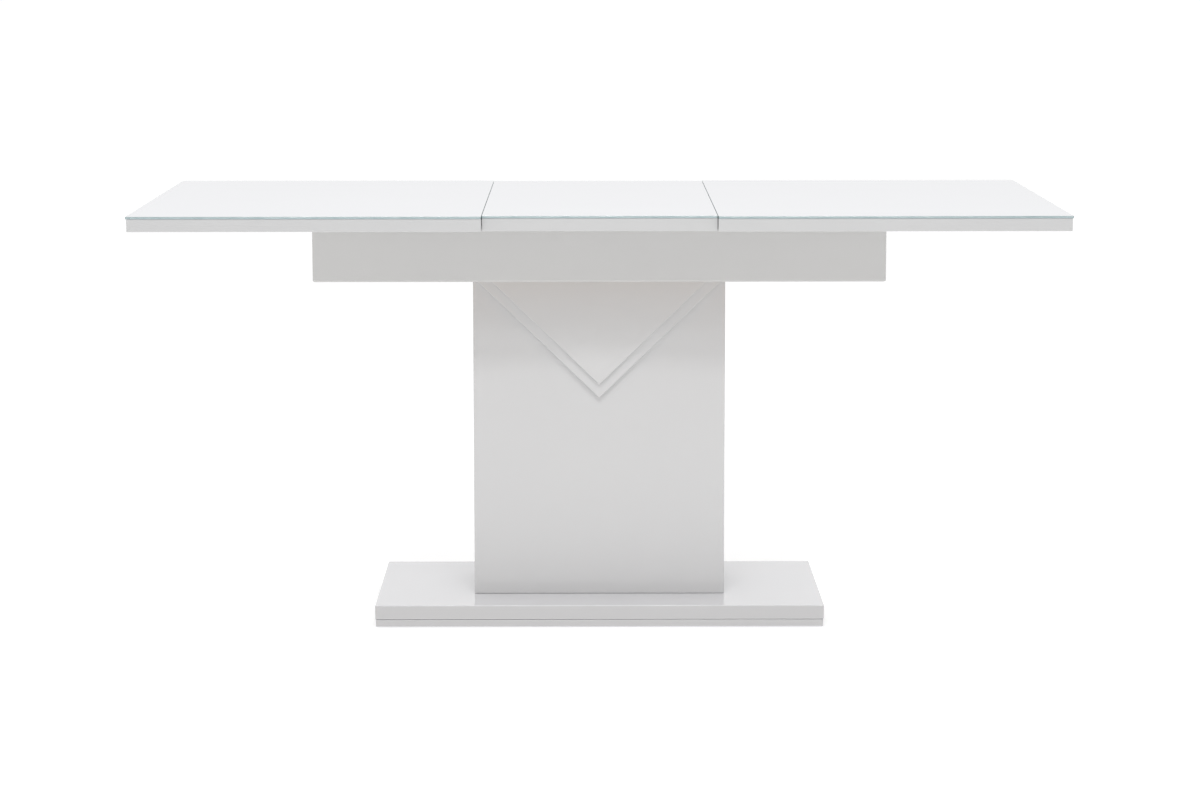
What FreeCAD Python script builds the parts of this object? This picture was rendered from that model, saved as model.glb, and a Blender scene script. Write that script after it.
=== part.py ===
import FreeCAD, Part
import math
import os

# Extendable pedestal dining table, standing open with its loose leaf in place.
# Millimetres. The origin is on the floor under the middle of the table: X runs along
# its length, -Y is its front and Z is up. Every piece is one node in parts/.
#
# How it comes apart: two top halves slide apart on beech runners that hang in two fixed
# centre rails. A rack under each half meets one pinion, so both halves move by the same
# amount. The leaf lies loose on the runners between the halves. The rails stand on cross
# bearers inside the apron box, which a bearer panel bolts to the hollow column.

os.makedirs("parts", exist_ok=True)

# ---------------------------------------------------------------- overall sizes
top_length = 1600.0          # both halves and the leaf
top_depth = 800.0
table_height = 750.0
leaf_length = 400.0

# ---------------------------------------------------------------- top
glass_thickness = 4.0
glass_overhang = 1.5         # the glass stands this far out over the board's outer edges
glass_corner_radius = 1.5
glass_arris = 0.5            # ground edge of the glass
board_thickness = 22.0
board_easing = 1.0
seam_gap = 0.6               # between a half and the leaf
leaf_setback = 10.0          # the leaf is this much shallower than the halves, front and back

# ---------------------------------------------------------------- apron box
apron_length = 1000.0
apron_depth = 450.0
apron_height = 102.0
apron_board = 18.0
apron_top_gap = 2.0          # filled by the pads that the halves slide on
apron_corner_radius = 3.5    # lower edge at both ends
apron_easing = 0.8
pad_length = 60.0
pad_width = 10.0
corner_block_side = 40.0
corner_block_height = 50.0
corner_block_lift = 12.0

# ---------------------------------------------------------------- column
column_width = 450.0
column_depth = 200.0
column_board = 18.0
column_easing = 1.5
column_foot_gap = 0.3        # shadow line between the column's skin and the base
column_block_height = 40.0
batten_side = 20.0
chevron_outer_thickness = 12.0
chevron_inner_thickness = 10.0
chevron_easing = 1.2
chevron_slope = 0.968        # how far an edge falls for each millimetre that it runs in
chevron_outer_drop = 220.5   # from the apron's underside to the lowest point
chevron_inner_drop = 195.0

# ---------------------------------------------------------------- base
base_length = 797.0
base_depth = 410.0
base_upper_thickness = 25.5
base_lower_thickness = 13.5
base_lower_inset = 0.9       # the lower board stands back by this much all round
base_easing = 1.5
glide_height = 2.0
glide_radius = 15.0
glide_inset = 45.0

# ---------------------------------------------------------------- slides
pull_out = 30.0              # travel past the open place, which frees the leaf
rail_height = 30.0
rail_width = 22.0
rail_end_gap = 10.0          # between a centre rail's end and the apron's end board
rail_centre_y = 159.5
rail_side_clearance = 0.5
runner_lift = 2.0            # between a runner and the bearers below it
runner_inner_end = 25.0      # from the middle of the table, with the table open
runner_end_gap = 5.0         # to the apron's end, at the end of the travel
runner_screw_shares = (0.15, 0.5, 0.85)   # along the stretch under the half's board
tongue_height = 8.0
tongue_depth = 6.5
tongue_clearance = 0.2
buffer_radius = 6.0
buffer_clearance = 0.3
bearer_height = 40.0
side_bearer_width = 30.0
middle_bearer_width = 60.0
side_bearer_x = 330.0
bearer_panel_thickness = 18.0
bearer_panel_margin = 40.0   # past each side of the column
leaf_block_length = 60.0
leaf_block_width = 18.0
leaf_block_height = 20.0
leaf_block_inset = 29.2      # from the leaf's edge at a seam
leaf_block_clearance = 1.0

# ---------------------------------------------------------------- rack and pinion
gear_module = 1.5
pinion_teeth = 20
pressure_angle = math.radians(20.0)
gear_addendum = 0.95         # times the module
gear_dedendum = 1.25         # times the module
gear_backlash = 0.16
flank_points = 5
pinion_thickness = 10.0
pinion_drop = 6.0            # from the top's underside to the pinion's upper face
pinion_play = 0.2            # above and below the pinion
rack_height = 18.0
rack_back = 10.0             # thickness behind the teeth
rack_inner_end = 50.0        # past the middle of the table
rack_outer_end = 430.0
rack_run_in = 15.0           # teeth past the last place that the pinion reaches
axle_radius = 5.0
axle_running_clearance = 0.05
axle_hole_clearance = 0.15
axle_head_radius = 8.0
axle_head_height = 4.5
axle_spare = 2.0             # of the axle below its nut
spacer_radius = 10.0
axle_nut_radius = 9.5
axle_nut_height = 8.0

# ---------------------------------------------------------------- fasteners
bolt_radius = 4.0
bolt_clearance = 0.25
bolt_head_radius = 6.5
bolt_head_height = 5.0
bolt_socket_radius = 2.9
bolt_socket_depth = 3.0
bolt_x = 150.0
bolt_y = 50.0
base_bolt_length = 60.0
base_bolt_seat = 8.0         # depth of the counterbore under the base
head_bolt_length = 48.0
insert_radius = 6.0
insert_length = 24.0
washer_radius = 10.0
washer_thickness = 1.6
bolt_tip_room = 2.0
screw_radius = 2.0
screw_clearance = 0.1
screw_head_radius = 4.0
screw_head_height = 2.5
screw_socket_radius = 1.5
screw_socket_depth = 1.4
screw_seat = 6.0             # depth of each counterbore
screw_bite = 14.0            # length of screw in the second piece
dowel_radius = 4.0
dowel_length = 30.0
dowel_in_board = 12.0
dowel_room = 0.5             # left for glue at both ends

# ---------------------------------------------------------------- levels and places
base_seam_z = glide_height + base_lower_thickness
base_top_z = base_seam_z + base_upper_thickness
column_bottom_z = base_top_z + column_foot_gap
glass_bottom_z = table_height - glass_thickness
top_underside_z = glass_bottom_z - board_thickness
apron_top_z = top_underside_z - apron_top_gap
apron_bottom_z = apron_top_z - apron_height
bearer_panel_top_z = apron_bottom_z + bearer_panel_thickness
rail_top_z = apron_top_z
rail_bottom_z = rail_top_z - rail_height
runner_bottom_z = rail_bottom_z + runner_lift
bearer_bottom_z = rail_bottom_z - bearer_height
tongue_z = (rail_bottom_z + rail_top_z) / 2
rack_bottom_z = top_underside_z - rack_height
pinion_top_z = top_underside_z - pinion_drop
pinion_bottom_z = pinion_top_z - pinion_thickness

half_top = top_length / 2
half_leaf = leaf_length / 2
half_apron = apron_length / 2
half_apron_depth = apron_depth / 2
apron_inner_x = half_apron - apron_board
apron_inner_y = half_apron_depth - apron_board
half_column = column_width / 2
half_column_depth = column_depth / 2
column_inner_x = half_column - column_board
column_inner_y = half_column_depth - column_board
closing_travel = half_leaf
runner_outer_end = apron_inner_x - pull_out - runner_end_gap
buffer_length = runner_end_gap - buffer_clearance
left_lane_y = rail_centre_y + rail_width + rail_side_clearance
right_lane_y = rail_centre_y - rail_width - rail_side_clearance
leaf_block_x = half_leaf - seam_gap / 2 - leaf_block_inset - leaf_block_length / 2
leaf_block_y = right_lane_y - rail_width / 2 - leaf_block_clearance - leaf_block_width / 2
pitch_radius = gear_module * pinion_teeth / 2
tooth_pitch = math.pi * gear_module

X_AXIS = FreeCAD.Vector(1, 0, 0)
Y_AXIS = FreeCAD.Vector(0, 1, 0)
Z_AXIS = FreeCAD.Vector(0, 0, 1)
SIDES = (("left", -1), ("right", 1))
FACES = (("front", -1), ("back", 1))

pieces = {}


# ---------------------------------------------------------------- shapes
def board(x0, x1, y0, y1, z0, z1):
    """A squared board between two corners, given in either order."""
    low = FreeCAD.Vector(min(x0, x1), min(y0, y1), min(z0, z1))
    return Part.makeBox(abs(x1 - x0), abs(y1 - y0), abs(z1 - z0), low)


def post(radius, x, y, z0, z1):
    """An upright round bar."""
    return Part.makeCylinder(radius, z1 - z0, FreeCAD.Vector(x, y, z0), Z_AXIS)


def tube(outer, inner, x, y, z0, z1):
    return post(outer, x, y, z0, z1).cut(post(inner, x, y, z0, z1))


def hexagon(radius, x, y, z0, z1):
    """An upright hexagonal bar; the radius reaches its corners."""
    corners = []
    for step in range(7):
        turn = math.radians(60 * step)
        corners.append(FreeCAD.Vector(x + radius * math.cos(turn), y + radius * math.sin(turn), z0))
    return Part.Face(Part.makePolygon(corners)).extrude(Z_AXIS * (z1 - z0))


def outline(points, thickness):
    """A flat closed outline, raised along the direction of thickness."""
    return Part.Face(Part.makePolygon(points + points[:1])).extrude(thickness)


def edges_where(shape, test):
    """The edges whose ends both pass the test."""
    found = []
    for edge in shape.Edges:
        if all(test(vertex.Point) for vertex in edge.Vertexes):
            found.append(edge)
    return found


def near(a, b):
    return abs(a - b) < 0.001


def upright_edges(shape):
    found = []
    for edge in shape.Edges:
        if abs(edge.tangentAt(edge.FirstParameter).z) > 0.999:
            found.append(edge)
    return found


def eased_board(shape, radius):
    """A board with every edge rounded a little."""
    return shape.makeFillet(radius, shape.Edges)


def cut_all(shape, cutters):
    for cutter in cutters:
        shape = shape.cut(cutter)
    return shape


# ---------------------------------------------------------------- fasteners
def fastener(x, y, seat_z, way, length, shank, head, head_height, socket, socket_depth):
    """A socket-head fastener: way is +1 when it is driven upwards and -1 downwards."""
    far_z = seat_z + way * length
    top_of_head = seat_z - way * head_height
    bottom_of_socket = top_of_head + way * socket_depth
    body = post(shank, x, y, min(seat_z, far_z), max(seat_z, far_z))
    cap = post(head, x, y, min(seat_z, top_of_head), max(seat_z, top_of_head))
    recess_z = sorted((top_of_head, bottom_of_socket))
    recess = hexagon(socket, x, y, recess_z[0], recess_z[1])
    return body.fuse(cap).cut(recess).removeSplitter()


def bolt(x, y, seat_z, way, length):
    return fastener(x, y, seat_z, way, length, bolt_radius, bolt_head_radius, bolt_head_height,
                    bolt_socket_radius, bolt_socket_depth)


def screw(x, y, seat_z, way, length):
    return fastener(x, y, seat_z, way, length, screw_radius, screw_head_radius, screw_head_height,
                    screw_socket_radius, screw_socket_depth)


def screw_up(x, y, bottom_z, joint_z):
    """A screw driven up from bottom_z that bites past the joint, and the hole that it needs."""
    seat_z = bottom_z + screw_seat
    tip_z = joint_z + screw_bite
    clear = screw_radius + screw_clearance
    counterbore = post(screw_head_radius + bolt_clearance, x, y, bottom_z, seat_z)
    hole = post(clear, x, y, bottom_z, tip_z + dowel_room)
    return screw(x, y, seat_z, 1, tip_z - seat_z), hole.fuse(counterbore)


def dowel_along_y(x, z, joint_y, side):
    """A dowel across the joint at joint_y, whose board is on the outer side, and its longer hole."""
    outer = joint_y + side * dowel_in_board
    start = FreeCAD.Vector(x, outer, z)
    pin = Part.makeCylinder(dowel_radius, dowel_length, start, Y_AXIS * -side)
    hole_start = FreeCAD.Vector(x, outer + side * dowel_room, z)
    hole = Part.makeCylinder(dowel_radius, dowel_length + 2 * dowel_room, hole_start, Y_AXIS * -side)
    return pin, hole


# ---------------------------------------------------------------- base
def make_base():
    half_x = base_length / 2
    half_y = base_depth / 2
    lower_x = half_x - base_lower_inset
    lower_y = half_y - base_lower_inset
    upper = board(-half_x, half_x, -half_y, half_y, base_seam_z, base_top_z)
    upper = eased_board(upper, base_easing)
    lower = board(-lower_x, lower_x, -lower_y, lower_y, glide_height, base_seam_z)
    lower = eased_board(lower, base_easing)
    foot = board(-column_inner_x, column_inner_x, -column_inner_y, column_inner_y,
                 base_top_z, base_top_z + column_block_height)
    seat_z = glide_height + base_bolt_seat
    tip_z = seat_z + base_bolt_length
    insert_top_z = base_top_z + insert_length
    bolts = []
    inserts = []
    for x in (-bolt_x, bolt_x):
        for y in (-bolt_y, bolt_y):
            bolts.append(bolt(x, y, seat_z, 1, base_bolt_length))
            inserts.append(tube(insert_radius, bolt_radius, x, y, base_top_z, insert_top_z))
            hole = post(bolt_radius + bolt_clearance, x, y, glide_height, tip_z + bolt_tip_room)
            counterbore = post(bolt_head_radius + bolt_clearance, x, y, glide_height, seat_z)
            lower = cut_all(lower, (hole, counterbore))
            upper = upper.cut(hole)
            foot = cut_all(foot, (hole, post(insert_radius, x, y, base_top_z, insert_top_z)))
    glides = []
    for x in (-half_x + glide_inset, 0.0, half_x - glide_inset):
        for y in (-half_y + glide_inset, half_y - glide_inset):
            glides.append(post(glide_radius, x, y, 0.0, glide_height))
    pieces["base_upper_board"] = upper
    pieces["base_lower_board"] = lower
    pieces["base_glides"] = glides
    pieces["base_bolts"] = bolts
    pieces["foot_insert_nuts"] = inserts
    pieces["column_foot_block"] = foot


# ---------------------------------------------------------------- column
def chevron(drop, y_back, y_front):
    """A raised triangle under the apron, with its point down, no wider than the column."""
    reach = drop / chevron_slope
    low_z = apron_bottom_z - drop
    corners = [FreeCAD.Vector(-reach, y_back, apron_bottom_z),
               FreeCAD.Vector(reach, y_back, apron_bottom_z),
               FreeCAD.Vector(0.0, y_back, low_z)]
    plate = outline(corners, FreeCAD.Vector(0.0, y_front - y_back, 0.0))
    plate = plate.common(board(-half_column, half_column, y_back, y_front, low_z, apron_bottom_z))
    sloping = []
    for edge in edges_where(plate, lambda point: near(point.y, y_front)):
        ends = edge.Vertexes
        if not near(ends[0].Z, ends[1].Z) and not near(ends[0].X, ends[1].X):
            sloping.append(edge)
    return plate.makeFillet(chevron_easing, sloping)


def make_column():
    for name, side in FACES:
        y_out = side * half_column_depth
        y_in = side * column_inner_y
        skin = board(-half_column, half_column, y_in, y_out, column_bottom_z, apron_bottom_z)
        upright = edges_where(skin, lambda point: near(point.y, y_out) and near(abs(point.x), half_column))
        pieces["column_%s_board" % name] = skin.makeFillet(column_easing, upright)
        y_middle = y_out + side * chevron_outer_thickness
        y_front = y_middle + side * chevron_inner_thickness
        pieces["chevron_%s_outer" % name] = chevron(chevron_outer_drop, y_out, y_middle)
        pieces["chevron_%s_inner" % name] = chevron(chevron_inner_drop, y_middle, y_front)
    block_bottom_z = apron_bottom_z - column_block_height
    for name, side in SIDES:
        pieces["column_%s_board" % name] = board(side * column_inner_x, side * half_column, -column_inner_y,
                                                 column_inner_y, column_bottom_z, apron_bottom_z)
        for face_name, face in FACES:
            x_in = side * (column_inner_x - batten_side)
            y_in = face * (column_inner_y - batten_side)
            batten = board(x_in, side * column_inner_x, y_in, face * column_inner_y,
                           base_top_z + column_block_height, block_bottom_z)
            pieces["column_batten_%s_%s" % (face_name, name)] = batten


# ---------------------------------------------------------------- column head
def make_column_head():
    """The block in the column's top, the panel above it and the bolts between them."""
    block = board(-column_inner_x, column_inner_x, -column_inner_y, column_inner_y,
                  apron_bottom_z - column_block_height, apron_bottom_z)
    panel_x = half_column + bearer_panel_margin
    panel = board(-panel_x, panel_x, -apron_inner_y, apron_inner_y, apron_bottom_z, bearer_panel_top_z)
    seat_z = bearer_panel_top_z + washer_thickness
    tip_z = seat_z - head_bolt_length
    insert_bottom_z = apron_bottom_z - insert_length
    bolts = []
    washers = []
    inserts = []
    for x in (-bolt_x, bolt_x):
        for y in (-bolt_y, bolt_y):
            bolts.append(bolt(x, y, seat_z, -1, head_bolt_length))
            washer_hole = bolt_radius + bolt_clearance
            washers.append(tube(washer_radius, washer_hole, x, y, bearer_panel_top_z, seat_z))
            inserts.append(tube(insert_radius, bolt_radius, x, y, insert_bottom_z, apron_bottom_z))
            hole = post(bolt_radius + bolt_clearance, x, y, tip_z - bolt_tip_room, seat_z)
            panel = panel.cut(hole)
            block = cut_all(block, (hole, post(insert_radius, x, y, insert_bottom_z, apron_bottom_z)))
    pieces["column_head_block"] = block
    pieces["head_insert_nuts"] = inserts
    pieces["head_bolts"] = bolts
    pieces["head_washers"] = washers
    pieces["bearer_panel"] = panel


# ---------------------------------------------------------------- apron box
def make_apron():
    """Four apron boards, the cross bearers between them and the dowels that join them."""
    dowels_by_joint = {"apron_corner_dowels": [], "bearer_dowels": []}
    holes = []

    def add_dowel(group, x, z, side):
        pin, hole = dowel_along_y(x, z, side * apron_inner_y, side)
        dowels_by_joint[group].append(pin)
        holes.append(hole)

    corner_low_z = apron_bottom_z + apron_height / 4
    corner_high_z = apron_top_z - apron_height / 4
    panel_z = (apron_bottom_z + bearer_panel_top_z) / 2
    bearer_z = (bearer_bottom_z + rail_bottom_z) / 2
    middle_dowel_x = middle_bearer_width / 4
    for side in (-1, 1):
        for x in (-(half_apron - apron_board / 2), half_apron - apron_board / 2):
            add_dowel("apron_corner_dowels", x, corner_low_z, side)
            add_dowel("apron_corner_dowels", x, corner_high_z, side)
        for x in (-half_column, -half_column / 3, half_column / 3, half_column):
            add_dowel("bearer_dowels", x, panel_z, side)
        for x in (-side_bearer_x, -middle_dowel_x, middle_dowel_x, side_bearer_x):
            add_dowel("bearer_dowels", x, bearer_z, side)

    for name, side in FACES:
        y_out = side * half_apron_depth
        skin = board(-half_apron, half_apron, side * apron_inner_y, y_out, apron_bottom_z, apron_top_z)
        ends = edges_where(skin, lambda point: near(abs(point.x), half_apron)
                           and near(point.z, apron_bottom_z))
        skin = skin.makeFillet(apron_corner_radius, ends)
        rim = edges_where(skin, lambda point: near(point.y, y_out))
        skin = skin.makeFillet(apron_easing, rim)
        pieces["apron_%s_board" % name] = cut_all(skin, holes)

    for name, side in SIDES:
        x_out = side * half_apron
        end = board(side * apron_inner_x, x_out, -apron_inner_y, apron_inner_y,
                    apron_bottom_z, apron_top_z)
        low = edges_where(end, lambda point: near(point.x, x_out) and near(point.z, apron_bottom_z))
        end = end.makeFillet(apron_corner_radius, low)
        pieces["apron_%s_end" % name] = cut_all(end, holes)

    bearers = {"cross_bearer_left": (-side_bearer_x, side_bearer_width),
               "cross_bearer_middle": (0.0, middle_bearer_width),
               "cross_bearer_right": (side_bearer_x, side_bearer_width)}
    for name, (x, width) in bearers.items():
        bearer = board(x - width / 2, x + width / 2, -apron_inner_y, apron_inner_y,
                       bearer_bottom_z, rail_bottom_z)
        pieces[name] = cut_all(bearer, holes)
    pieces["bearer_panel"] = cut_all(pieces["bearer_panel"], holes)
    pieces.update(dowels_by_joint)


def make_corner_blocks():
    blocks = []
    low_z = apron_bottom_z + corner_block_lift
    for side in (-1, 1):
        for face in (-1, 1):
            x = side * apron_inner_x
            y = face * apron_inner_y
            corners = [FreeCAD.Vector(x, y, low_z),
                       FreeCAD.Vector(x - side * corner_block_side, y, low_z),
                       FreeCAD.Vector(x, y - face * corner_block_side, low_z)]
            blocks.append(outline(corners, Z_AXIS * corner_block_height))
    pieces["apron_corner_blocks"] = blocks


def make_slide_pads():
    """Nylon pads on the apron's top edge, which carry the halves as they slide."""
    pads = []
    end_x = half_apron - apron_board / 2
    end_y = apron_inner_y / 2
    long_x = half_apron - apron_board - pad_length
    long_y = half_apron_depth - apron_board / 2
    for side in (-1, 1):
        for face in (-1, 1):
            x = side * end_x
            y = face * end_y
            pads.append(board(x - pad_width / 2, x + pad_width / 2, y - pad_length / 2, y + pad_length / 2,
                              apron_top_z, top_underside_z))
            x = side * long_x
            y = face * long_y
            pads.append(board(x - pad_length / 2, x + pad_length / 2, y - pad_width / 2, y + pad_width / 2,
                              apron_top_z, top_underside_z))
    pieces["slide_pads"] = pads


def make_buffers():
    """Rubber buffers in the apron's ends, which stop the runners at the end of their travel."""
    buffers = []
    z = (runner_bottom_z + top_underside_z) / 2
    for side, lane_y in ((-1, left_lane_y), (1, right_lane_y)):
        for face in (-1, 1):
            start = FreeCAD.Vector(side * apron_inner_x, face * lane_y, z)
            buffers.append(Part.makeCylinder(buffer_radius, buffer_length, start, X_AXIS * -side))
    pieces["end_buffers"] = buffers


# ---------------------------------------------------------------- slides
def make_centre_rails():
    rail_end = apron_inner_x - rail_end_gap
    groove_half = tongue_height / 2 + tongue_clearance
    groove_depth = tongue_depth + tongue_clearance
    screws = []
    holes = []
    for face in (-1, 1):
        for x in (-side_bearer_x, 0.0, side_bearer_x):
            one, hole = screw_up(x, face * rail_centre_y, bearer_bottom_z, rail_bottom_z)
            screws.append(one)
            holes.append(hole)
    for name, face in FACES:
        y_in = face * (rail_centre_y - rail_width / 2)
        y_out = face * (rail_centre_y + rail_width / 2)
        rail = board(-rail_end, rail_end, y_in, y_out, rail_bottom_z, rail_top_z)
        outer_groove = board(-rail_end, rail_end, y_out - face * (groove_depth - rail_side_clearance), y_out,
                             tongue_z - groove_half, tongue_z + groove_half)
        inner_groove = board(-rail_end, rail_end, y_in, y_in + face * (groove_depth - rail_side_clearance),
                             tongue_z - groove_half, tongue_z + groove_half)
        pieces["centre_rail_%s" % name] = cut_all(rail, [outer_groove, inner_groove] + holes)
    for name in ("cross_bearer_left", "cross_bearer_middle", "cross_bearer_right"):
        pieces[name] = cut_all(pieces[name], holes)
    pieces["centre_rail_screws"] = screws


def runner(side, face, lane_y, toward_rail):
    """A runner with the tongue that hangs in the centre rail's groove."""
    x_in = side * runner_inner_end
    x_out = side * runner_outer_end
    y = face * lane_y
    bar = board(x_in, x_out, y - rail_width / 2, y + rail_width / 2, runner_bottom_z, top_underside_z)
    root_y = y + toward_rail * rail_width / 2
    tongue = board(x_in, x_out, root_y, root_y + toward_rail * tongue_depth,
                   tongue_z - tongue_height / 2, tongue_z + tongue_height / 2)
    return bar.fuse(tongue).removeSplitter()


# ---------------------------------------------------------------- rack and pinion
def flank_angle(radius, base_radius):
    """The involute's turn away from the tooth's middle, at a radius."""
    lean = math.acos(min(1.0, base_radius / radius))
    at_pitch = math.tan(pressure_angle) - pressure_angle
    half_tooth = math.pi / (2 * pinion_teeth) - gear_backlash / (4 * pitch_radius)
    return half_tooth + at_pitch - (math.tan(lean) - lean)


def make_pinion():
    base_radius = pitch_radius * math.cos(pressure_angle)
    tip_radius = pitch_radius + gear_addendum * gear_module
    root_radius = pitch_radius - gear_dedendum * gear_module
    radii = [root_radius]
    for step in range(flank_points):
        radii.append(base_radius + (tip_radius - base_radius) * step / (flank_points - 1))
    points = []
    for tooth in range(pinion_teeth):
        middle = 2 * math.pi * tooth / pinion_teeth
        rising = [(radius, middle - flank_angle(max(radius, base_radius), base_radius)) for radius in radii]
        falling = [(radius, 2 * middle - turn) for radius, turn in reversed(rising)]
        for radius, turn in rising + falling:
            points.append(FreeCAD.Vector(radius * math.cos(turn), radius * math.sin(turn), pinion_bottom_z))
    gear = outline(points, Z_AXIS * pinion_thickness)
    bore = post(axle_radius + axle_running_clearance, 0.0, 0.0, pinion_bottom_z, pinion_top_z)
    pieces["sync_pinion"] = gear.cut(bore)


def make_axle():
    head_z = pinion_top_z + pinion_play
    spacer_top_z = pinion_bottom_z - pinion_play
    nut_bottom_z = bearer_bottom_z - axle_nut_height
    length = head_z - nut_bottom_z + axle_spare
    hole_radius = axle_radius + axle_hole_clearance
    axle = post(axle_radius, 0.0, 0.0, head_z - length, head_z)
    head = post(axle_head_radius, 0.0, 0.0, head_z, head_z + axle_head_height)
    pieces["pinion_axle"] = axle.fuse(head).removeSplitter()
    pieces["pinion_spacer"] = tube(spacer_radius, hole_radius, 0.0, 0.0, rail_bottom_z, spacer_top_z)
    nut = hexagon(axle_nut_radius, 0.0, 0.0, nut_bottom_z, bearer_bottom_z)
    pieces["axle_nut"] = nut.cut(post(axle_radius, 0.0, 0.0, nut_bottom_z, bearer_bottom_z))
    hole = post(hole_radius, 0.0, 0.0, bearer_bottom_z, rail_bottom_z)
    pieces["cross_bearer_middle"] = pieces["cross_bearer_middle"].cut(hole)


def rack(side, face):
    """A rack whose teeth face the pinion; a tooth gap stands at the middle of the table."""
    tip = gear_addendum * gear_module
    root = gear_dedendum * gear_module
    half_tooth = tooth_pitch / 4 - gear_backlash / 4
    half_at_tip = half_tooth - tip * math.tan(pressure_angle)
    half_at_root = half_tooth + root * math.tan(pressure_angle)
    root_y = face * (pitch_radius + root)
    tip_y = face * (pitch_radius - tip)
    back_y = root_y + face * rack_back
    x_in = -side * rack_inner_end
    first = math.ceil(-rack_inner_end / tooth_pitch)
    last = math.floor((closing_travel + rack_run_in) / tooth_pitch)
    points = [FreeCAD.Vector(x_in, back_y, rack_bottom_z), FreeCAD.Vector(x_in, root_y, rack_bottom_z)]
    for number in range(first, last):
        x = side * (number + 0.5) * tooth_pitch
        for along, across in ((-half_at_root, root_y), (-half_at_tip, tip_y), (half_at_tip, tip_y),
                              (half_at_root, root_y)):
            points.append(FreeCAD.Vector(x + side * along, across, rack_bottom_z))
    points.append(FreeCAD.Vector(side * rack_outer_end, root_y, rack_bottom_z))
    points.append(FreeCAD.Vector(side * rack_outer_end, back_y, rack_bottom_z))
    return outline(points, Z_AXIS * rack_height)


# ---------------------------------------------------------------- top
def glass_pane(x0, x1, depth):
    pane = board(x0, x1, -depth / 2, depth / 2, glass_bottom_z, table_height)
    pane = pane.makeFillet(glass_corner_radius, upright_edges(pane))
    rims = edges_where(pane, lambda point: near(point.z, table_height))
    rims += edges_where(pane, lambda point: near(point.z, glass_bottom_z))
    return pane.makeChamfer(glass_arris, rims)


def make_half(name, side, lane_y, toward_rail, rack_face):
    """One half of the top: its board, glass, two runners, rack and screws."""
    seam_x = side * (half_leaf + seam_gap / 2)
    outer_x = side * half_top
    board_y = top_depth / 2 - glass_overhang
    pieces["%s_top_glass" % name] = glass_pane(seam_x, outer_x, top_depth)
    panel = eased_board(board(seam_x, outer_x - side * glass_overhang, -board_y, board_y,
                              top_underside_z, glass_bottom_z), board_easing)
    runner_reach = runner_outer_end - half_leaf
    screw_places = [half_leaf + runner_reach * share for share in runner_screw_shares]
    screws = []
    for face_name, face in FACES:
        bar = runner(side, face, lane_y, face * toward_rail)
        for place in screw_places:
            one, hole = screw_up(side * place, face * lane_y, runner_bottom_z, top_underside_z)
            screws.append(one)
            bar = bar.cut(hole)
            panel = panel.cut(hole)
        pieces["%s_runner_%s" % (name, face_name)] = bar
    pieces["%s_runner_screws" % name] = screws

    bar = rack(side, rack_face)
    rack_y = rack_face * (pitch_radius + gear_dedendum * gear_module + rack_back / 2)
    rack_screws = []
    first_place = closing_travel + 2 * rack_run_in
    last_place = rack_outer_end - rack_run_in
    middle_place = (first_place + last_place) / 2
    for place in (first_place, middle_place, last_place):
        one, hole = screw_up(side * place, rack_y, rack_bottom_z, top_underside_z)
        rack_screws.append(one)
        bar = bar.cut(hole)
        panel = panel.cut(hole)
    pieces["%s_rack" % name] = bar
    pieces["%s_rack_screws" % name] = rack_screws
    pieces["%s_top_board" % name] = panel


def make_leaf():
    """The loose leaf, with the blocks below it that drop between the runners."""
    edge_x = half_leaf - seam_gap / 2
    leaf_depth = top_depth - 2 * leaf_setback
    board_y = leaf_depth / 2 - glass_overhang
    pieces["leaf_glass"] = glass_pane(-edge_x, edge_x, leaf_depth)
    panel = eased_board(board(-edge_x, edge_x, -board_y, board_y, top_underside_z, glass_bottom_z),
                        board_easing)
    blocks = []
    screws = []
    for x in (-leaf_block_x, leaf_block_x):
        for face in (-1, 1):
            y = face * leaf_block_y
            low_z = top_underside_z - leaf_block_height
            block = board(x - leaf_block_length / 2, x + leaf_block_length / 2,
                          y - leaf_block_width / 2, y + leaf_block_width / 2, low_z, top_underside_z)
            for place in (x - leaf_block_length / 4, x + leaf_block_length / 4):
                one, hole = screw_up(place, y, low_z, top_underside_z)
                screws.append(one)
                block = block.cut(hole)
                panel = panel.cut(hole)
            blocks.append(block)
    pieces["leaf_locating_blocks"] = blocks
    pieces["leaf_block_screws"] = screws
    pieces["leaf_board"] = panel


make_base()
make_column()
make_column_head()
make_apron()
make_corner_blocks()
make_slide_pads()
make_buffers()
make_centre_rails()
make_pinion()
make_axle()
make_half("left", -1, left_lane_y, -1, 1)
make_half("right", 1, right_lane_y, 1, -1)
make_leaf()

for node, shape in pieces.items():
    solid = Part.makeCompound(shape) if isinstance(shape, list) else shape
    solid.exportStep("parts/%s.step" % node)
    volume = solid.Volume / 1000
    print("%-26s %3d solid(s), %9.1f cm3, valid %s" % (node, len(solid.Solids), volume, solid.isValid()))
print(len(pieces), "nodes")
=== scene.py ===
# %% [markdown]
# # An extending pedestal dining table
#
# The table stands open with its loose leaf in place. Its boards, rails, gear and screws come
# ready-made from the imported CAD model, each in its true place, so this lesson is mostly about
# finishes: white lacquer, glass, beech, steel. Where a sharper shape is worth having, a piece
# is modelled again here and takes the CAD piece's place.

# %% Load the frame
import bmesh
import bpy
import math
from mathutils import Matrix, Vector


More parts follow.
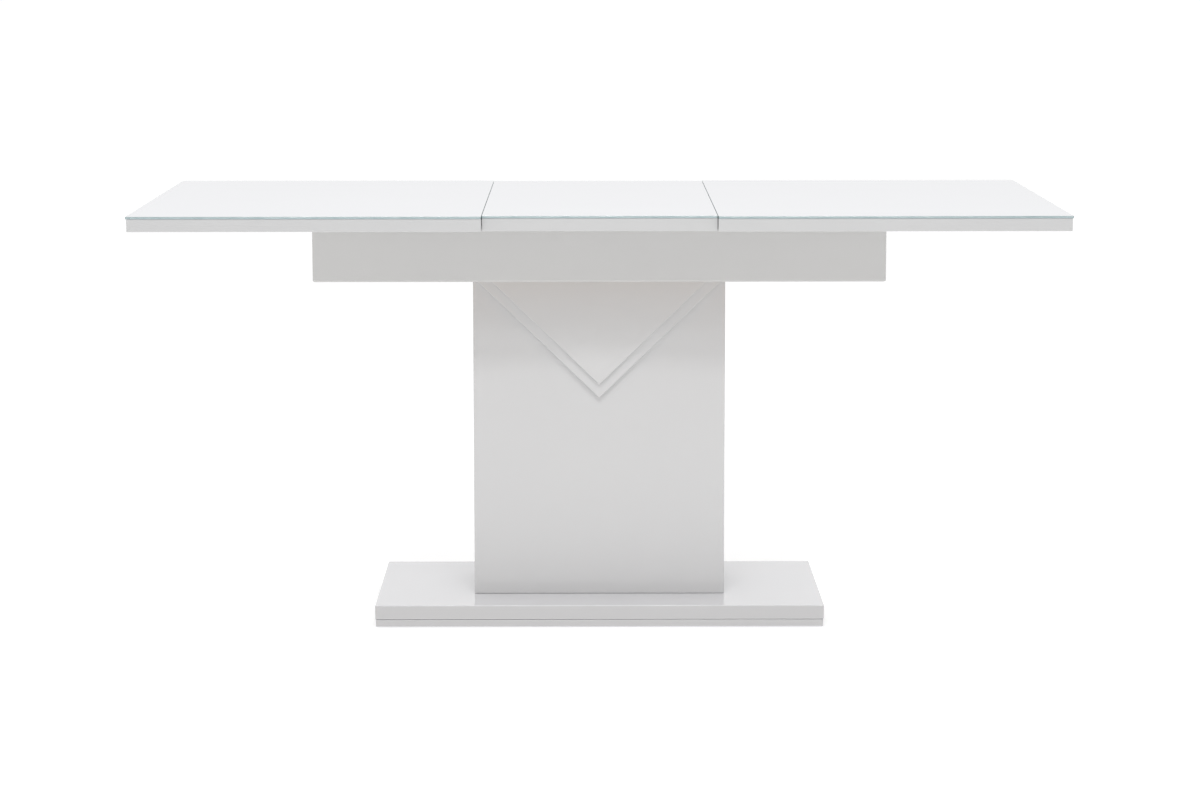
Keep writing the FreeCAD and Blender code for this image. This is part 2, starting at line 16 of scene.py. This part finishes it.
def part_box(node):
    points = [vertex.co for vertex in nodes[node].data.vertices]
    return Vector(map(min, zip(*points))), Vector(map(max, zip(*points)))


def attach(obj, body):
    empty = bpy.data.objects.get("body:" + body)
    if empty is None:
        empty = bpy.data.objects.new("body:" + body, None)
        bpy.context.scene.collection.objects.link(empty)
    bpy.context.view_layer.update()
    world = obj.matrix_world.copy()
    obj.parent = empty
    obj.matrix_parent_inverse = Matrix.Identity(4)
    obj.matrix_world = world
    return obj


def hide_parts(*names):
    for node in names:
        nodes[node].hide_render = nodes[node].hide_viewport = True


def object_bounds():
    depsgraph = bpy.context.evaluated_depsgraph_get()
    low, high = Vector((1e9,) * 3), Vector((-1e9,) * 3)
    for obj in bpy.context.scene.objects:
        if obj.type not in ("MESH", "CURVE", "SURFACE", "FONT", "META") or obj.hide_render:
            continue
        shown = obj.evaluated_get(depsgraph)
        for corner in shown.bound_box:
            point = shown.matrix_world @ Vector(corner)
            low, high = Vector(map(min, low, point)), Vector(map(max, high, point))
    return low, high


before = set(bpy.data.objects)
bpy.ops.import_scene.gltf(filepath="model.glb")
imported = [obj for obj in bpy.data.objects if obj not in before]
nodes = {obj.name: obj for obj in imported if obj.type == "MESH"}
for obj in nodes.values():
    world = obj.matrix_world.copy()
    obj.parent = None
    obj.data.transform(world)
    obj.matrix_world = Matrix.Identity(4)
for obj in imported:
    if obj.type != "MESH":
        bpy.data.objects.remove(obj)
cad_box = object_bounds()
print("CAD pieces:", len(nodes))

# %% [markdown]
# ## A few helpers for finishes
#
# Every finish here is a Principled shader with something small laid over it: a slight change of
# tone, of gloss or of height. The patterns read Object coordinates, which are metres in the
# table's own frame, so a scale of 1000 is a pattern about a millimetre across and stays put
# on the piece when the table opens.

# %% Helpers for finishes
def finish(name, color, roughness, metallic=0.0, ior=1.5):
    """A new material with plain values on its shader; returns the material, its tree and shader."""
    material = bpy.data.materials.new(name)
    material.use_nodes = True
    tree = material.node_tree
    shader = tree.nodes["Principled BSDF"]
    shader.inputs["Base Color"].default_value = (*color, 1.0)
    shader.inputs["Roughness"].default_value = roughness
    shader.inputs["Metallic"].default_value = metallic
    shader.inputs["IOR"].default_value = ior
    material.diffuse_color = (*color, 1.0)
    return material, tree, shader


def place_pattern(tree, scale):
    """The piece's own coordinates, stretched by a scale for each axis, per metre."""
    coordinates = tree.nodes.new("ShaderNodeTexCoord")
    mapping = tree.nodes.new("ShaderNodeMapping")
    mapping.inputs["Scale"].default_value = scale
    tree.links.new(coordinates.outputs["Object"], mapping.inputs["Vector"])
    return mapping.outputs["Vector"]


def noise(tree, scale, detail=2.0, stretch=(1.0, 1.0, 1.0)):
    """Soft random patches; scale is how many there are in a metre."""
    texture = tree.nodes.new("ShaderNodeTexNoise")
    texture.inputs["Scale"].default_value = scale
    texture.inputs["Detail"].default_value = detail
    tree.links.new(place_pattern(tree, stretch), texture.inputs["Vector"])
    return texture.outputs["Fac"]


def vary_color(tree, shader, pattern, dark, light, low=0.3, high=0.7):
    """Blends two close colours by a pattern."""
    ramp = tree.nodes.new("ShaderNodeValToRGB")
    ramp.color_ramp.elements[0].position = low
    ramp.color_ramp.elements[0].color = (*dark, 1.0)
    ramp.color_ramp.elements[1].position = high
    ramp.color_ramp.elements[1].color = (*light, 1.0)
    tree.links.new(pattern, ramp.inputs["Fac"])
    tree.links.new(ramp.outputs["Color"], shader.inputs["Base Color"])
    return ramp


def vary_roughness(tree, shader, pattern, low, high):
    span = tree.nodes.new("ShaderNodeMapRange")
    span.inputs["From Min"].default_value = 0.3
    span.inputs["From Max"].default_value = 0.7
    span.inputs["To Min"].default_value = low
    span.inputs["To Max"].default_value = high
    tree.links.new(pattern, span.inputs["Value"])
    tree.links.new(span.outputs["Result"], shader.inputs["Roughness"])


def add_bump(tree, shader, pattern, strength, height):
    """Raises the surface by a pattern; height is in metres."""
    bump = tree.nodes.new("ShaderNodeBump")
    bump.inputs["Strength"].default_value = strength
    bump.inputs["Distance"].default_value = height
    tree.links.new(pattern, bump.inputs["Height"])
    tree.links.new(bump.outputs["Normal"], shader.inputs["Normal"])


def wear(node_names, material):
    """Puts a finish on CAD pieces, in their own material slots."""
    for name in node_names:
        slots = nodes[name].material_slots
        for slot in slots:
            slot.material = material


# %% [markdown]
# ## White lacquer
#
# The boards are MDF, sprayed white and polished to a high gloss. A mirror-smooth white looks
# like plastic film, so the real finish's faint orange peel is laid over it as bumps a few
# millimetres wide and a few thousandths of a millimetre high, and the polish varies a little.
# Each lacquer has one tone for its faces and a darker one for its edges: painted light and shade
# by the way a surface faces. On the base the top is lighter, as if lit from above, and the edges
# are darker, as if shaded near the floor. Both tones are set for this studio's light and are greyer
# than a measured white lacquer. The two could be two materials on a mesh split along its edges;
# here one material picks its tone by the way the surface faces, which needs no change to the CAD
# pieces.

# %% White lacquer
def make_lacquer(name, painted_light_tone, painted_shade_tone, edge_axis):
    """Gloss lacquer that paints light and shade by facing; edge_axis is the board's thickness axis, and the
    faces across it are its edges, which take the darker tone.
    """
    material, tree, shader = finish(name, painted_light_tone, 0.06)
    coordinates = tree.nodes.new("ShaderNodeTexCoord")
    split = tree.nodes.new("ShaderNodeSeparateXYZ")
    tree.links.new(coordinates.outputs["Normal"], split.inputs["Vector"])
    size_of = tree.nodes.new("ShaderNodeMath")
    size_of.operation = "ABSOLUTE"
    tree.links.new(split.outputs[edge_axis], size_of.inputs[0])
    blend = tree.nodes.new("ShaderNodeMix")
    blend.data_type = "RGBA"
    blend.inputs["A"].default_value = (*painted_shade_tone, 1.0)
    blend.inputs["B"].default_value = (*painted_light_tone, 1.0)
    tree.links.new(size_of.outputs["Value"], blend.inputs["Factor"])
    cloud = tree.nodes.new("ShaderNodeMix")
    cloud.data_type = "RGBA"
    cloud.blend_type = "MULTIPLY"
    cloud.inputs["B"].default_value = (0.975, 0.975, 0.98, 1.0)
    tree.links.new(noise(tree, 5.0), cloud.inputs["Factor"])
    tree.links.new(blend.outputs["Result"], cloud.inputs["A"])
    tree.links.new(cloud.outputs["Result"], shader.inputs["Base Color"])
    vary_roughness(tree, shader, noise(tree, 9.0, 3.0), 0.03, 0.07)
    add_bump(tree, shader, noise(tree, 260.0, 1.0), 0.2, 0.00002)
    return material


# The four are copies of one white lacquer. Their tones are set by how much light falls on each part: painted
# light and shade, lightest on the base's top.
base_lacquer = make_lacquer("base_lacquer", (0.78, 0.78, 0.8), (0.49, 0.485, 0.487), "Z")
column_lacquer = make_lacquer("column_lacquer", (0.54, 0.537, 0.537), (0.53, 0.53, 0.53), "Y")
apron_lacquer = make_lacquer("apron_lacquer", (0.525, 0.52, 0.512), (0.515, 0.51, 0.502), "Y")
top_lacquer = make_lacquer("top_board_lacquer", (0.58, 0.58, 0.58), (0.475, 0.475, 0.475), "Z")
lacquered = (
    (base_lacquer, ("base_upper", "base_lower")),
    (column_lacquer, ("column_front", "column_back", "column_left", "column_right", "chevron")),
    (apron_lacquer, ("apron_front", "apron_back", "apron_left", "apron_right")),
    (top_lacquer, ("left_top_board", "right_top_board", "leaf_board")),
)
for lacquer, beginnings in lacquered:
    boards = [name for name in nodes if name.startswith(beginnings)]
    wear(boards, lacquer)
    print(lacquer.name, "on", boards)

# %% [markdown]
# ## Painted shadow at the joint in the base
#
# The base is two boards, one on the other, and the joint between them shows as a dark hairline:
# the shadow in the groove between them. A cut groove would need new meshes for both boards, while
# a painted shadow, a dark band in the finish placed by height, gives the same line on all four sides.

# %% Paint the joint's shadow
joint_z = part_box("base_lower_board")[1].z
joint_half_height = 0.0005
# Near black: the tone of the painted shadow in the joint.
joint_shadow_tone = (0.05, 0.048, 0.045)


def paint_joint_shadow(material):
    """Paints the joint's shadow into a lacquer as a thin dark level band at the joint's height."""
    tree = material.node_tree
    shader = tree.nodes["Principled BSDF"]
    tone = shader.inputs["Base Color"].links[0].from_socket
    place = tree.nodes.new("ShaderNodeTexCoord")
    split = tree.nodes.new("ShaderNodeSeparateXYZ")
    tree.links.new(place.outputs["Object"], split.inputs["Vector"])
    near_joint = tree.nodes.new("ShaderNodeMath")
    near_joint.operation = "COMPARE"
    near_joint.inputs[1].default_value = joint_z
    near_joint.inputs[2].default_value = joint_half_height
    tree.links.new(split.outputs["Z"], near_joint.inputs[0])
    band = tree.nodes.new("ShaderNodeMix")
    band.data_type = "RGBA"
    band.inputs["B"].default_value = (*joint_shadow_tone, 1.0)
    tree.links.new(near_joint.outputs["Value"], band.inputs["Factor"])
    tree.links.new(tone, band.inputs["A"])
    tree.links.new(band.outputs["Result"], shader.inputs["Base Color"])


paint_joint_shadow(base_lacquer)
print("joint at", round(joint_z * 1000, 1), "mm")

# %% [markdown]
# ## Glass
#
# Each board carries 4 mm float glass that is white behind. From above it reads as a deep white
# gloss, and its polished edge shows the blue-green of the iron in the glass.

# %% Glass finishes
glass_ior = 1.52


def make_glass_face():
    material, tree, shader = finish("white_backed_glass", (0.67, 0.68, 0.72), 0.03, ior=glass_ior)
    vary_color(tree, shader, noise(tree, 2.0), (0.665, 0.673, 0.71), (0.68, 0.688, 0.725))
    vary_roughness(tree, shader, noise(tree, 14.0, 4.0), 0.015, 0.035)
    return material


def make_glass_edge():
    material, tree, shader = finish("green_glass_edge", (0.26, 0.33, 0.34), 0.12, ior=glass_ior)
    vary_color(tree, shader, noise(tree, 30.0, 2.0, (1.0, 1.0, 12.0)), (0.22, 0.29, 0.3), (0.29, 0.36, 0.37))
    vary_roughness(tree, shader, noise(tree, 200.0), 0.08, 0.2)
    return material


glass_face = make_glass_face()
glass_edge = make_glass_edge()

# %% [markdown]
# ## The three panes
#
# A pane is a flat block whose upright corners are rounded and whose rims are ground to a fine
# arris. It could stay as the CAD piece, but the face and the edge of a pane look so different
# that each needs its own material, so the pane is modelled again with bmesh: a cube sized to
# the CAD piece's box, two bevels, and then the faces that look up or down take the white.

# %% Model the panes
corner_radius = 0.0015
arris = 0.0005


def block(low, high):
    """A bmesh block between two corners."""
    shape = bmesh.new()
    size = high - low
    middle = (low + high) / 2
    bmesh.ops.create_cube(shape, size=1.0, matrix=Matrix.Translation(middle) @ Matrix.Diagonal((*size, 1.0)))
    return shape


def bevel(shape, edges, width, segments):
    bmesh.ops.bevel(shape, geom=edges, offset=width, offset_type="OFFSET", segments=segments, profile=0.5,
                    affect="EDGES", material=-1, clamp_overlap=True)


def is_upright(edge):
    run = edge.verts[0].co - edge.verts[1].co
    return abs(run.z) > 0.9 * run.length


def to_piece(shape, name, materials):
    """Turns a finished bmesh into an object at the origin."""
    mesh = bpy.data.meshes.new(name)
    shape.to_mesh(mesh)
    shape.free()
    for material in materials:
        mesh.materials.append(material)
    piece = bpy.data.objects.new(name, mesh)
    bpy.context.scene.collection.objects.link(piece)
    return piece


def make_pane(node, body):
    low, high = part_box(node)
    shape = block(low, high)
    bevel(shape, [edge for edge in shape.edges if is_upright(edge)], corner_radius, 3)
    rims = [edge for edge in shape.edges if not is_upright(edge)
            and len({round(vertex.co.z, 5) for vertex in edge.verts}) == 1]
    bevel(shape, rims, arris, 2)
    for face in shape.faces:
        face.material_index = 0 if abs(face.normal.z) > 0.99 else 1
        face.smooth = False
    pane = to_piece(shape, node + "_pane", [glass_face, glass_edge])
    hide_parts(node)
    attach(pane, body)
    return pane


panes = (("left_top_glass", "left_half"), ("right_top_glass", "right_half"), ("leaf_glass", "leaf"))
for node, body in panes:
    pane = make_pane(node, body)
    print(pane.name, len(pane.data.polygons), "faces")

# %% [markdown]
# ## Hidden woods, metals and plastics
#
# Below the top are beech rails and runners, plain MDF blocks, zinc-plated screws, nylon gears
# and pads, rubber buffers and felt glides. They show from below and when the table opens.

# %% Wood
def make_wood(name, dark, light, stretch):
    material, tree, shader = finish(name, light, 0.5)
    grain = noise(tree, 60.0, 6.0, stretch)
    vary_color(tree, shader, grain, dark, light, 0.25, 0.75)
    vary_roughness(tree, shader, grain, 0.42, 0.6)
    add_bump(tree, shader, noise(tree, 400.0, 3.0, stretch), 0.3, 0.0002)
    return material


beech_dark, beech_light = (0.42, 0.25, 0.13), (0.62, 0.42, 0.25)
beech_along_x = make_wood("beech_along_the_table", beech_dark, beech_light, (0.06, 1.0, 1.0))
beech_across = make_wood("beech_across_the_table", beech_dark, beech_light, (1.0, 0.06, 1.0))
beech_upright = make_wood("beech_upright", beech_dark, beech_light, (1.0, 1.0, 0.06))
mdf = make_wood("plain_mdf", (0.33, 0.22, 0.13), (0.42, 0.29, 0.18), (1.0, 1.0, 1.0))
wear([name for name in nodes if "runner" in name or "centre_rail" in name], beech_along_x)
wear([name for name in nodes if name.startswith("cross_bearer") or name.endswith("dowels")], beech_across)
wear([name for name in nodes if "batten" in name or name == "apron_corner_blocks"], beech_upright)
wear(["leaf_locating_blocks"], beech_along_x)
wear(["column_foot_block", "column_head_block", "bearer_panel"], mdf)


# %% Steel, nylon, rubber and felt
def make_steel():
    material, tree, shader = finish("zinc_plated_steel", (0.6, 0.61, 0.63), 0.3, metallic=1.0)
    vary_color(tree, shader, noise(tree, 120.0, 3.0), (0.52, 0.53, 0.55), (0.66, 0.67, 0.69))
    vary_roughness(tree, shader, noise(tree, 600.0, 2.0), 0.22, 0.42)
    return material


def make_plastic(name, dark, light, rough):
    material, tree, shader = finish(name, light, rough)
    vary_color(tree, shader, noise(tree, 40.0), dark, light)
    vary_roughness(tree, shader, noise(tree, 300.0), rough - 0.08, rough + 0.08)
    add_bump(tree, shader, noise(tree, 1500.0), 0.2, 0.00005)
    return material


def make_felt():
    material, tree, shader = finish("grey_felt", (0.16, 0.16, 0.165), 0.95)
    fibres = noise(tree, 1800.0, 4.0)
    vary_color(tree, shader, fibres, (0.1, 0.1, 0.105), (0.22, 0.22, 0.225))
    add_bump(tree, shader, fibres, 0.6, 0.0003)
    return material


steel_endings = ("_screws", "_bolts", "_washers", "_nuts", "_nut", "_axle", "_spacer")
wear([name for name in nodes if name.endswith(steel_endings)], make_steel())
natural_nylon = make_plastic("natural_nylon", (0.62, 0.6, 0.54), (0.7, 0.68, 0.62), 0.38)
wear(["sync_pinion", "left_rack", "right_rack"], natural_nylon)
wear(["slide_pads"], make_plastic("grey_nylon", (0.2, 0.205, 0.21), (0.25, 0.255, 0.26), 0.4))
wear(["end_buffers"], make_plastic("black_rubber", (0.015, 0.015, 0.015), (0.03, 0.03, 0.03), 0.75))
wear(["base_glides"], make_felt())

# %% [markdown]
# ## The studio
#
# The table stands on a wide white floor, in a room that is white behind it and dimmer where the
# camera stands. So the lacquer and the glass mirror white, and a vertical front gets much of its
# light from the floor. One wide softbox, high in front, throws the top's shadow across the apron
# and the head of the column, a large one hangs over the table, a lower one fills the fronts, and
# one at each side draws the chevron. The lower one stands just where neither the boards nor the
# base and column together mirror it to the camera: lower, and the boards would glare.

# %% Floor
floor_reach = 60.0
floor_tone = (0.8, 0.8, 0.8)
floor_glow = 0.385


def make_floor():
    material, tree, shader = finish("studio_floor", floor_tone, 0.8)
    shader.inputs["Specular IOR Level"].default_value = 0.0
    shader.inputs["Emission Color"].default_value = (1.0, 1.0, 1.0, 1.0)
    shader.inputs["Emission Strength"].default_value = floor_glow
    shape = bmesh.new()
    bmesh.ops.create_grid(shape, x_segments=1, y_segments=1, size=floor_reach)
    floor = to_piece(shape, "studio_floor", [material])


make_floor()


# %% Room
def make_room(front, back):
    """A world that is bright behind the table and dimmer in front of it."""
    world = bpy.data.worlds.new("studio_room")
    world.use_nodes = True
    tree = world.node_tree
    direction = tree.nodes.new("ShaderNodeTexCoord")
    split = tree.nodes.new("ShaderNodeSeparateXYZ")
    tree.links.new(direction.outputs["Generated"], split.inputs["Vector"])
    span = tree.nodes.new("ShaderNodeMapRange")
    span.interpolation_type = "SMOOTHSTEP"
    span.inputs["From Min"].default_value = -0.5
    span.inputs["From Max"].default_value = 0.3
    span.inputs["To Min"].default_value = front
    span.inputs["To Max"].default_value = back
    tree.links.new(split.outputs["Y"], span.inputs["Value"])
    background = tree.nodes["Background"]
    background.inputs["Color"].default_value = (1.0, 1.0, 1.0, 1.0)
    tree.links.new(span.outputs["Result"], background.inputs["Strength"])
    bpy.context.scene.world = world


room_front = 0.54
room_back = 1.0
make_room(room_front, room_back)
bpy.context.scene.view_settings.view_transform = "Standard"


# %% Softboxes
def make_softbox(name, place, aim, width, height, power):
    """A soft area light at a place, turned to a point."""
    lamp = bpy.data.lights.new(name, "AREA")
    lamp.shape = "RECTANGLE"
    lamp.size = width
    lamp.size_y = height
    lamp.energy = power
    holder = bpy.data.objects.new(name, lamp)
    holder.location = place
    holder.rotation_euler = (aim - place).to_track_quat("-Z", "Y").to_euler()
    holder.visible_camera = False
    bpy.context.scene.collection.objects.link(holder)


front_edge = Vector((0.0, cad_box[0].y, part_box("left_top_board")[0].z))
key_elevation = math.radians(42.2)
key_distance = 4.0
key_place = front_edge + key_distance * Vector((0.0, -math.cos(key_elevation), math.sin(key_elevation)))
make_softbox("front_softbox", key_place, front_edge, width=2.0, height=0.3, power=43.0)
make_softbox("overhead_softbox", Vector((0.0, -1.9, 2.7)), Vector((0.0, -0.2, 0.3)),
             width=2.4, height=0.9, power=12.0)
make_softbox("low_softbox", Vector((0.0, -4.5, 0.62)), Vector((0.0, -0.1, 0.35)),
             width=3.0, height=0.3, power=30.0)
for side in (-1, 1):
    make_softbox("side_softbox", Vector((side * 3.0, -1.4, 0.6)), Vector((0.0, -0.1, 0.5)),
                 width=1.6, height=1.2, power=2.0)

# %% [markdown]
# ## The camera
#
# A long lens stands well back and a little above the top, so that the column's sides stay
# nearly upright and the top shows as a thin band.

# %% Camera
lens = bpy.data.cameras.new("camera")
lens.lens = 98.09
lens.sensor_width = 36.0
camera = bpy.data.objects.new("camera", lens)
camera_place = (-0.0227, -5.8992, 1.2298)
tilt_down = 0.1431
turn = -0.00416
roll = -0.00072
camera.matrix_world = (Matrix.Translation(camera_place) @ Matrix.Rotation(turn, 4, "Z")
                       @ Matrix.Rotation(math.pi / 2 - tilt_down, 4, "X") @ Matrix.Rotation(roll, 4, "Z"))
bpy.context.scene.collection.objects.link(camera)
bpy.context.scene.camera = camera
